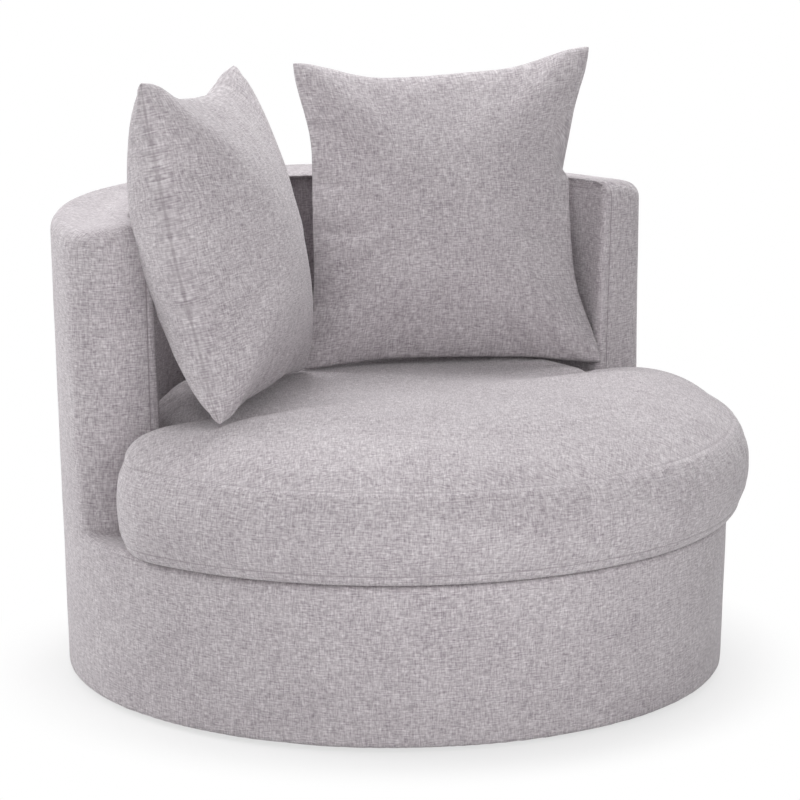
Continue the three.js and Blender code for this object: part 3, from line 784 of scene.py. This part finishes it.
def makePillow(side):
    place = pillowPlaces[side]
    piece = makePillowCover(place)
    piece.name = piece.data.name = "pillow_" + side
    addUv(piece, lambda corners, centres, normals: corners[:, :2])
    seamLine = drawInSeam(piece, place)
    puff(piece, pillow["puff"], seamLine)
    low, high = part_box("pillow_" + side + "_cover")
    stand = Matrix.Translation((Vector(low) + Vector(high)) / 2)
    for degrees, axis in ((place["turn"], "Z"), (-place["lean"], "X"), (place["roll"], "Y"), (90, "X")):
        stand = stand @ Matrix.Rotation(math.radians(degrees), 4, axis)
    points = readPoints(piece.data)
    print("pillow", side, "half thickness", points[:, 2].min().round(3), points[:, 2].max().round(3))
    writePoints(piece.data, points @ np.array(stand.to_3x3()).T + np.array(stand.translation))
    return piece, seamLine


def treeOf(piece):
    mesh = piece.data
    return BVHTree.FromPolygons([v.co for v in mesh.vertices], [tuple(f.vertices) for f in mesh.polygons])


# gap that is left, how far a surface is looked for, how deep a point may lie in it, and how what was pushed
# far is evened out
resting = {
    "gap": 0.0005, "reach": 0.06, "deepest": 0.05, "turns": 3,
    "evenPush": (0.004, 0.014), "evenTurns": 14, "evenShare": 0.6}


def pushOut(points, trees):
    push = np.zeros_like(points)
    for tree in trees:
        for i, p in enumerate(points):
            near, normal, face, far = tree.find_nearest(Vector(p), resting["reach"])
            if near is None:
                continue
            depth = resting["gap"] - (Vector(p) - near).dot(normal)
            if 0 < depth < resting["deepest"]:
                push[i] += np.array(normal) * depth
    return push


def restOn(piece, others, spread, seamLine):
    # moves what is inside the others out to their surface, with its surroundings
    mesh = piece.data
    edges = np.empty(len(mesh.edges) * 2, int)
    mesh.edges.foreach_get("vertices", edges)
    edges = edges.reshape(-1, 2)
    count = np.bincount(edges.ravel(), minlength=len(mesh.vertices))[:, None]

    def aroundEach(values):
        # the mean of each point's neighbours
        total = np.zeros_like(values)
        np.add.at(total, edges[:, 0], values[edges[:, 1]])
        np.add.at(total, edges[:, 1], values[edges[:, 0]])
        return total / count

    points = readPoints(mesh)
    first = points.copy()
    trees = [treeOf(other) for other in others]
    for turn in range(resting["turns"]):
        push = pushOut(points, trees)
        keep = np.linalg.norm(push, axis=1) > 0
        soft = push.copy()
        for again in range(spread):
            soft = 0.5 * soft + 0.5 * aroundEach(soft)
            soft[keep] = push[keep]
        points += soft
    # evens out what was pushed far, but for the seam, which that would draw in
    pushed = smoothStep(np.linalg.norm(points - first, axis=1), *resting["evenPush"])[:, None]
    pushed[seamLine] = 0
    for again in range(resting["evenTurns"]):
        points += (aroundEach(points) - points) * pushed * resting["evenShare"]
    writePoints(mesh, points)


pillows, seamLines = {}, {}
for side in pillowPlaces:
    pillows[side], seamLines[side] = makePillow(side)
for side, under in (("right", [bodyCover, seat]), ("left", [bodyCover, seat, pillows["right"]])):
    restOn(pillows[side], under, pillowPlaces[side]["spread"], seamLines[side])
for piece in pillows.values():
    refine(piece, 1)
    shadeSmooth(piece)
print("pillows rest on the seat and the wall")


# materials of the covers
seamed = {
    "seam": (142, 134, 138),
    # down each arm's face: distance from its inner side at the top and more of it further down, where it starts
    # and ends, and how far back it reaches
    "armInset": 0.009,
    "armLean": 0.018,
    "armFoot": (0.27, 0.275),
    "armTop": (0.685, 0.69),
    "armBack": (0.05, 0.055),
    # along the rim's inner edge
    "rimHeight": 0.687,
    "rimFront": (0.04, 0.05),
    "rimOutside": (0.015, 0.02),
}


def stitched(near, line, groove):
    # a line and a groove along a seam, each with how far it is full, where it ends and how much it shows
    return [(1 - near.step(full, end)) * share for full, end, share in (line, groove)]


def bodySeams(make):
    x, y, z = make.places(ownPlace, 3)
    radius = (x * x + y * y) ** 0.5
    slope = chair["insideLean"] / (chair["rimHeight"] - chair["deckHeight"])
    inner = radius - (chair["rimRadius"] - chair["wallThickness"]) - (z - chair["rimHeight"]) * slope
    seam = seamed["armInset"] + (chair["rimHeight"] - z) * seamed["armLean"]
    face = z.step(*seamed["armFoot"]) * (1 - z.step(*seamed["armTop"])) * (1 - y.step(*seamed["armBack"]))
    rim = y.step(*seamed["rimFront"]) * (1 - inner.step(*seamed["rimOutside"]))
    armLine, armGroove = stitched(abs(inner - seam), (0.0005, 0.0015, 0.8), (0.0006, 0.0045, 1))
    rimLine, rimGroove = stitched(abs(z - seamed["rimHeight"]), (0.0004, 0.0013, 0.4), (0.0006, 0.004, 1))
    return armLine * face + rimLine * rim, armGroove * face + rimGroove * rim


def seatSeams(make):
    z = make.places(ownPlace, 3)[2]
    below, above = [abs(z - seatCushion[key]) for key in ("bottomSeam", "topSeam")]
    lowLine, lowGroove = stitched(below, (0.0004, 0.0014, 0.6), (0.0006, 0.0045, 1))
    topLine, topGroove = stitched(above, (0.0004, 0.0012, 0.35), (0.0005, 0.003, 0.5))
    return lowLine + topLine, lowGroove + topGroove


def pillowSeams(make):
    u, v = make.places(uvPlace, 2)
    near = pillow["size"] / 2 - make.math("MAXIMUM", abs(u), abs(v))
    return stitched(near, (0.0004, 0.0014, 0.4), (0.0004, 0.003, 0.3))


for piece, seams in (
        (bodyCover, bodySeams), (seat, seatSeams),
        (pillows["left"], pillowSeams), (pillows["right"], pillowSeams)):
    piece.data.materials.clear()
    piece.data.materials.append(clothMaterial("cloth_" + piece.name, {**cloth, **seamed}, seams))

# where each piece belongs: the drum's cover stands for its cloth and the padding behind it
bodyNodes = (
    "outside_cover", "inside_cover", "front_cover", "arm_cover_left", "arm_cover_right", "deck_cover",
    "deck_foam", "outside_padding", "inside_padding", "rim_padding", "front_padding", "arm_foam_left",
    "arm_foam_right")
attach(bodyCover, "chair")
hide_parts(*bodyNodes)
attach(seat, "seat_cushion")
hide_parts("seat_cushion_cover", "seat_cushion_core")
for side, piece in pillows.items():
    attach(piece, "pillow_" + side)
    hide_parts("pillow_" + side + "_cover", "pillow_" + side + "_filling")

# materials of the frame's own pieces: the grain's two colours, its size and stretch, the roughness from the
# first to the second colour, and the bump
innerFinish = {
    "foam": {
        "low": (214, 202, 168), "high": (236, 228, 204), "size": 900, "stretch": (1, 1, 1),
        "rough": (0.85, 0.95), "bump": 0.5},
    "fibre": {
        "low": (226, 226, 224), "high": (245, 245, 243), "size": 260, "stretch": (1, 1, 3),
        "rough": (0.9, 1.0), "bump": 0.8},
    "dust_cloth": {
        "low": (22, 22, 24), "high": (46, 46, 48), "size": 700, "stretch": (1, 1, 1),
        "rough": (0.85, 0.95), "bump": 0.4},
    "felt": {
        "low": (58, 56, 56), "high": (88, 86, 84), "size": 420, "stretch": (1, 1, 1),
        "rough": (0.9, 1.0), "bump": 0.8},
    "plywood": {
        "low": (168, 128, 84), "high": (214, 178, 128), "size": 30, "stretch": (0.6, 9, 9),
        "rough": (0.5, 0.7), "bump": 0.2},
    "fibreboard": {
        "low": (122, 92, 64), "high": (166, 134, 98), "size": 500, "stretch": (1, 1, 1),
        "rough": (0.65, 0.8), "bump": 0.2},
    "steel": {
        "low": (132, 134, 138), "high": (176, 178, 182), "size": 60, "stretch": (1, 1, 14),
        "rough": (0.28, 0.5), "bump": 0.08},
    "zip": {
        "low": (96, 92, 94), "high": (138, 132, 136), "size": 380, "stretch": (1, 1, 1),
        "rough": (0.4, 0.6), "bump": 0.7},
}
innerGrain = {"detail": 4, "roughness": 0.6, "share": 1.4, "bumpDepth": 0.0008}
innerPatch = {"detail": 2, "size": 7, "share": 0.5}


def innerMaterial(name, values):
    material, make, shader = newMaterial("inner_" + name)
    place = make.add("TexCoord", out=ownPlace)
    spot = make.add("Mapping", {"vector_type": "POINT"}, {"Vector": place, "Scale": values["stretch"]})
    grain = make.add("TexNoise", None, {
        "Vector": spot, "Scale": values["size"], "Detail": innerGrain["detail"],
        "Roughness": innerGrain["roughness"]})
    patch = make.add("TexNoise", None, {
        "Vector": place, "Scale": innerPatch["size"], "Detail": innerPatch["detail"]})
    tone = (grain - 0.5) * innerGrain["share"] + (patch - 0.5) * innerPatch["share"] + 0.5
    tint = tone.step(0.1, 0.9).colours(linear(values["low"]), linear(values["high"]))
    plug(tint, shader, "Base Color")
    low, high = values["rough"]
    plug(low + grain * (high - low), shader, "Roughness")
    bump = {"Strength": values["bump"], "Distance": innerGrain["bumpDepth"], "Height": grain}
    plug(make.add("Bump", None, bump), shader, "Normal")
    if name == "steel":
        shader.inputs["Metallic"].default_value = 1
    return material


innerMaterials = {name: innerMaterial(name, values) for name, values in innerFinish.items()}
for part in frame["record"]["subparts"]:
    if part["material_slot"] in innerMaterials:
        for place in frame["nodes"][part["node"]].material_slots:
            place.material = innerMaterials[part["material_slot"]]
print("materials done")

# floor, backdrop and light
studio = {
    "floorSize": 30,
    "floorColour": (232, 232, 232),
    "floorRoughness": 0.9,
    "floorSpecular": 0.1,
    "shadow": 0.32,
    "shadowEdge": (0.5, 0.66),
    "world": 0.03,
    "lampTarget": (0, 0, 0.4),
    # place, size and power
    "lamps": {
        "back_left_light": ((-2.3, 2.3, 1.7), 2.4, 74),
        "front_left_light": ((-2.3, -2.3, 1.7), 2.4, 36),
        "front_light": ((0, -3.25, 1.7), 2.4, 48),
        "back_right_light": ((1.95, 1.12, 3.08), 2.4, 74),
        "top_light": ((0, 1.08, 3.73), 2.4, 58),
    },
}


def makeFloor():
    clearSelection()
    bpy.ops.mesh.primitive_grid_add(x_subdivisions=4, y_subdivisions=4, size=studio["floorSize"])
    floor = bpy.context.object
    floor.name = floor.data.name = "floor"
    material, make, shader = newMaterial("floor_paint")
    shader.inputs["Roughness"].default_value = studio["floorRoughness"]
    shader.inputs["Specular IOR Level"].default_value = studio["floorSpecular"]
    shader.inputs["Base Color"].default_value = linear(studio["floorColour"])
    # white to the camera, but for a share of it where the object stands in its own shadow
    x, y = make.places(ownPlace, 2)
    away = (x * x + y * y) ** 0.5
    seen = make.add("LightPath", out=0)
    white = make.add("Emission", None, {"Color": (1, 1, 1, 1), "Strength": 1.0})
    output = material.node_tree.nodes["Material Output"]
    clear = 1 - studio["shadow"] + away.step(*studio["shadowEdge"]) * studio["shadow"]
    mix = make.add("MixShader", None, {0: seen * clear})
    links = material.node_tree.links
    links.new(shader.outputs[0], mix.socket.node.inputs[1])
    links.new(white.socket, mix.socket.node.inputs[2])
    links.new(mix.socket, output.inputs["Surface"])
    floor.data.materials.append(material)


def makeLamp(name, place, size, power):
    bpy.ops.object.light_add(type="AREA", location=place)
    lamp = bpy.context.object
    lamp.name = name
    toTarget = Vector(studio["lampTarget"]) - Vector(place)
    lamp.rotation_euler = toTarget.to_track_quat("-Z", "Y").to_euler()
    lamp.data.shape = "DISK"
    lamp.data.size = size
    lamp.data.energy = power


def makeWorld():
    # dim, but white to the camera and in reflections
    world = bpy.data.worlds.new("studio")
    scene.world = world
    world.use_nodes = True
    tree = world.node_tree
    back = tree.nodes["Background"]
    back.inputs["Color"].default_value = (1, 1, 1, 1)
    make = Wire(tree)
    rays = tree.nodes.new("ShaderNodeLightPath").outputs
    seen = make.math("MAXIMUM", Wire(tree, rays["Is Glossy Ray"]), Wire(tree, rays["Is Camera Ray"]))
    plug(seen * (1 - studio["world"]) + studio["world"], back, "Strength")


makeFloor()
for name, (place, size, power) in studio["lamps"].items():
    makeLamp(name, place, size, power)
makeWorld()
scene.view_settings.view_transform = "Standard"
print("studio ready")
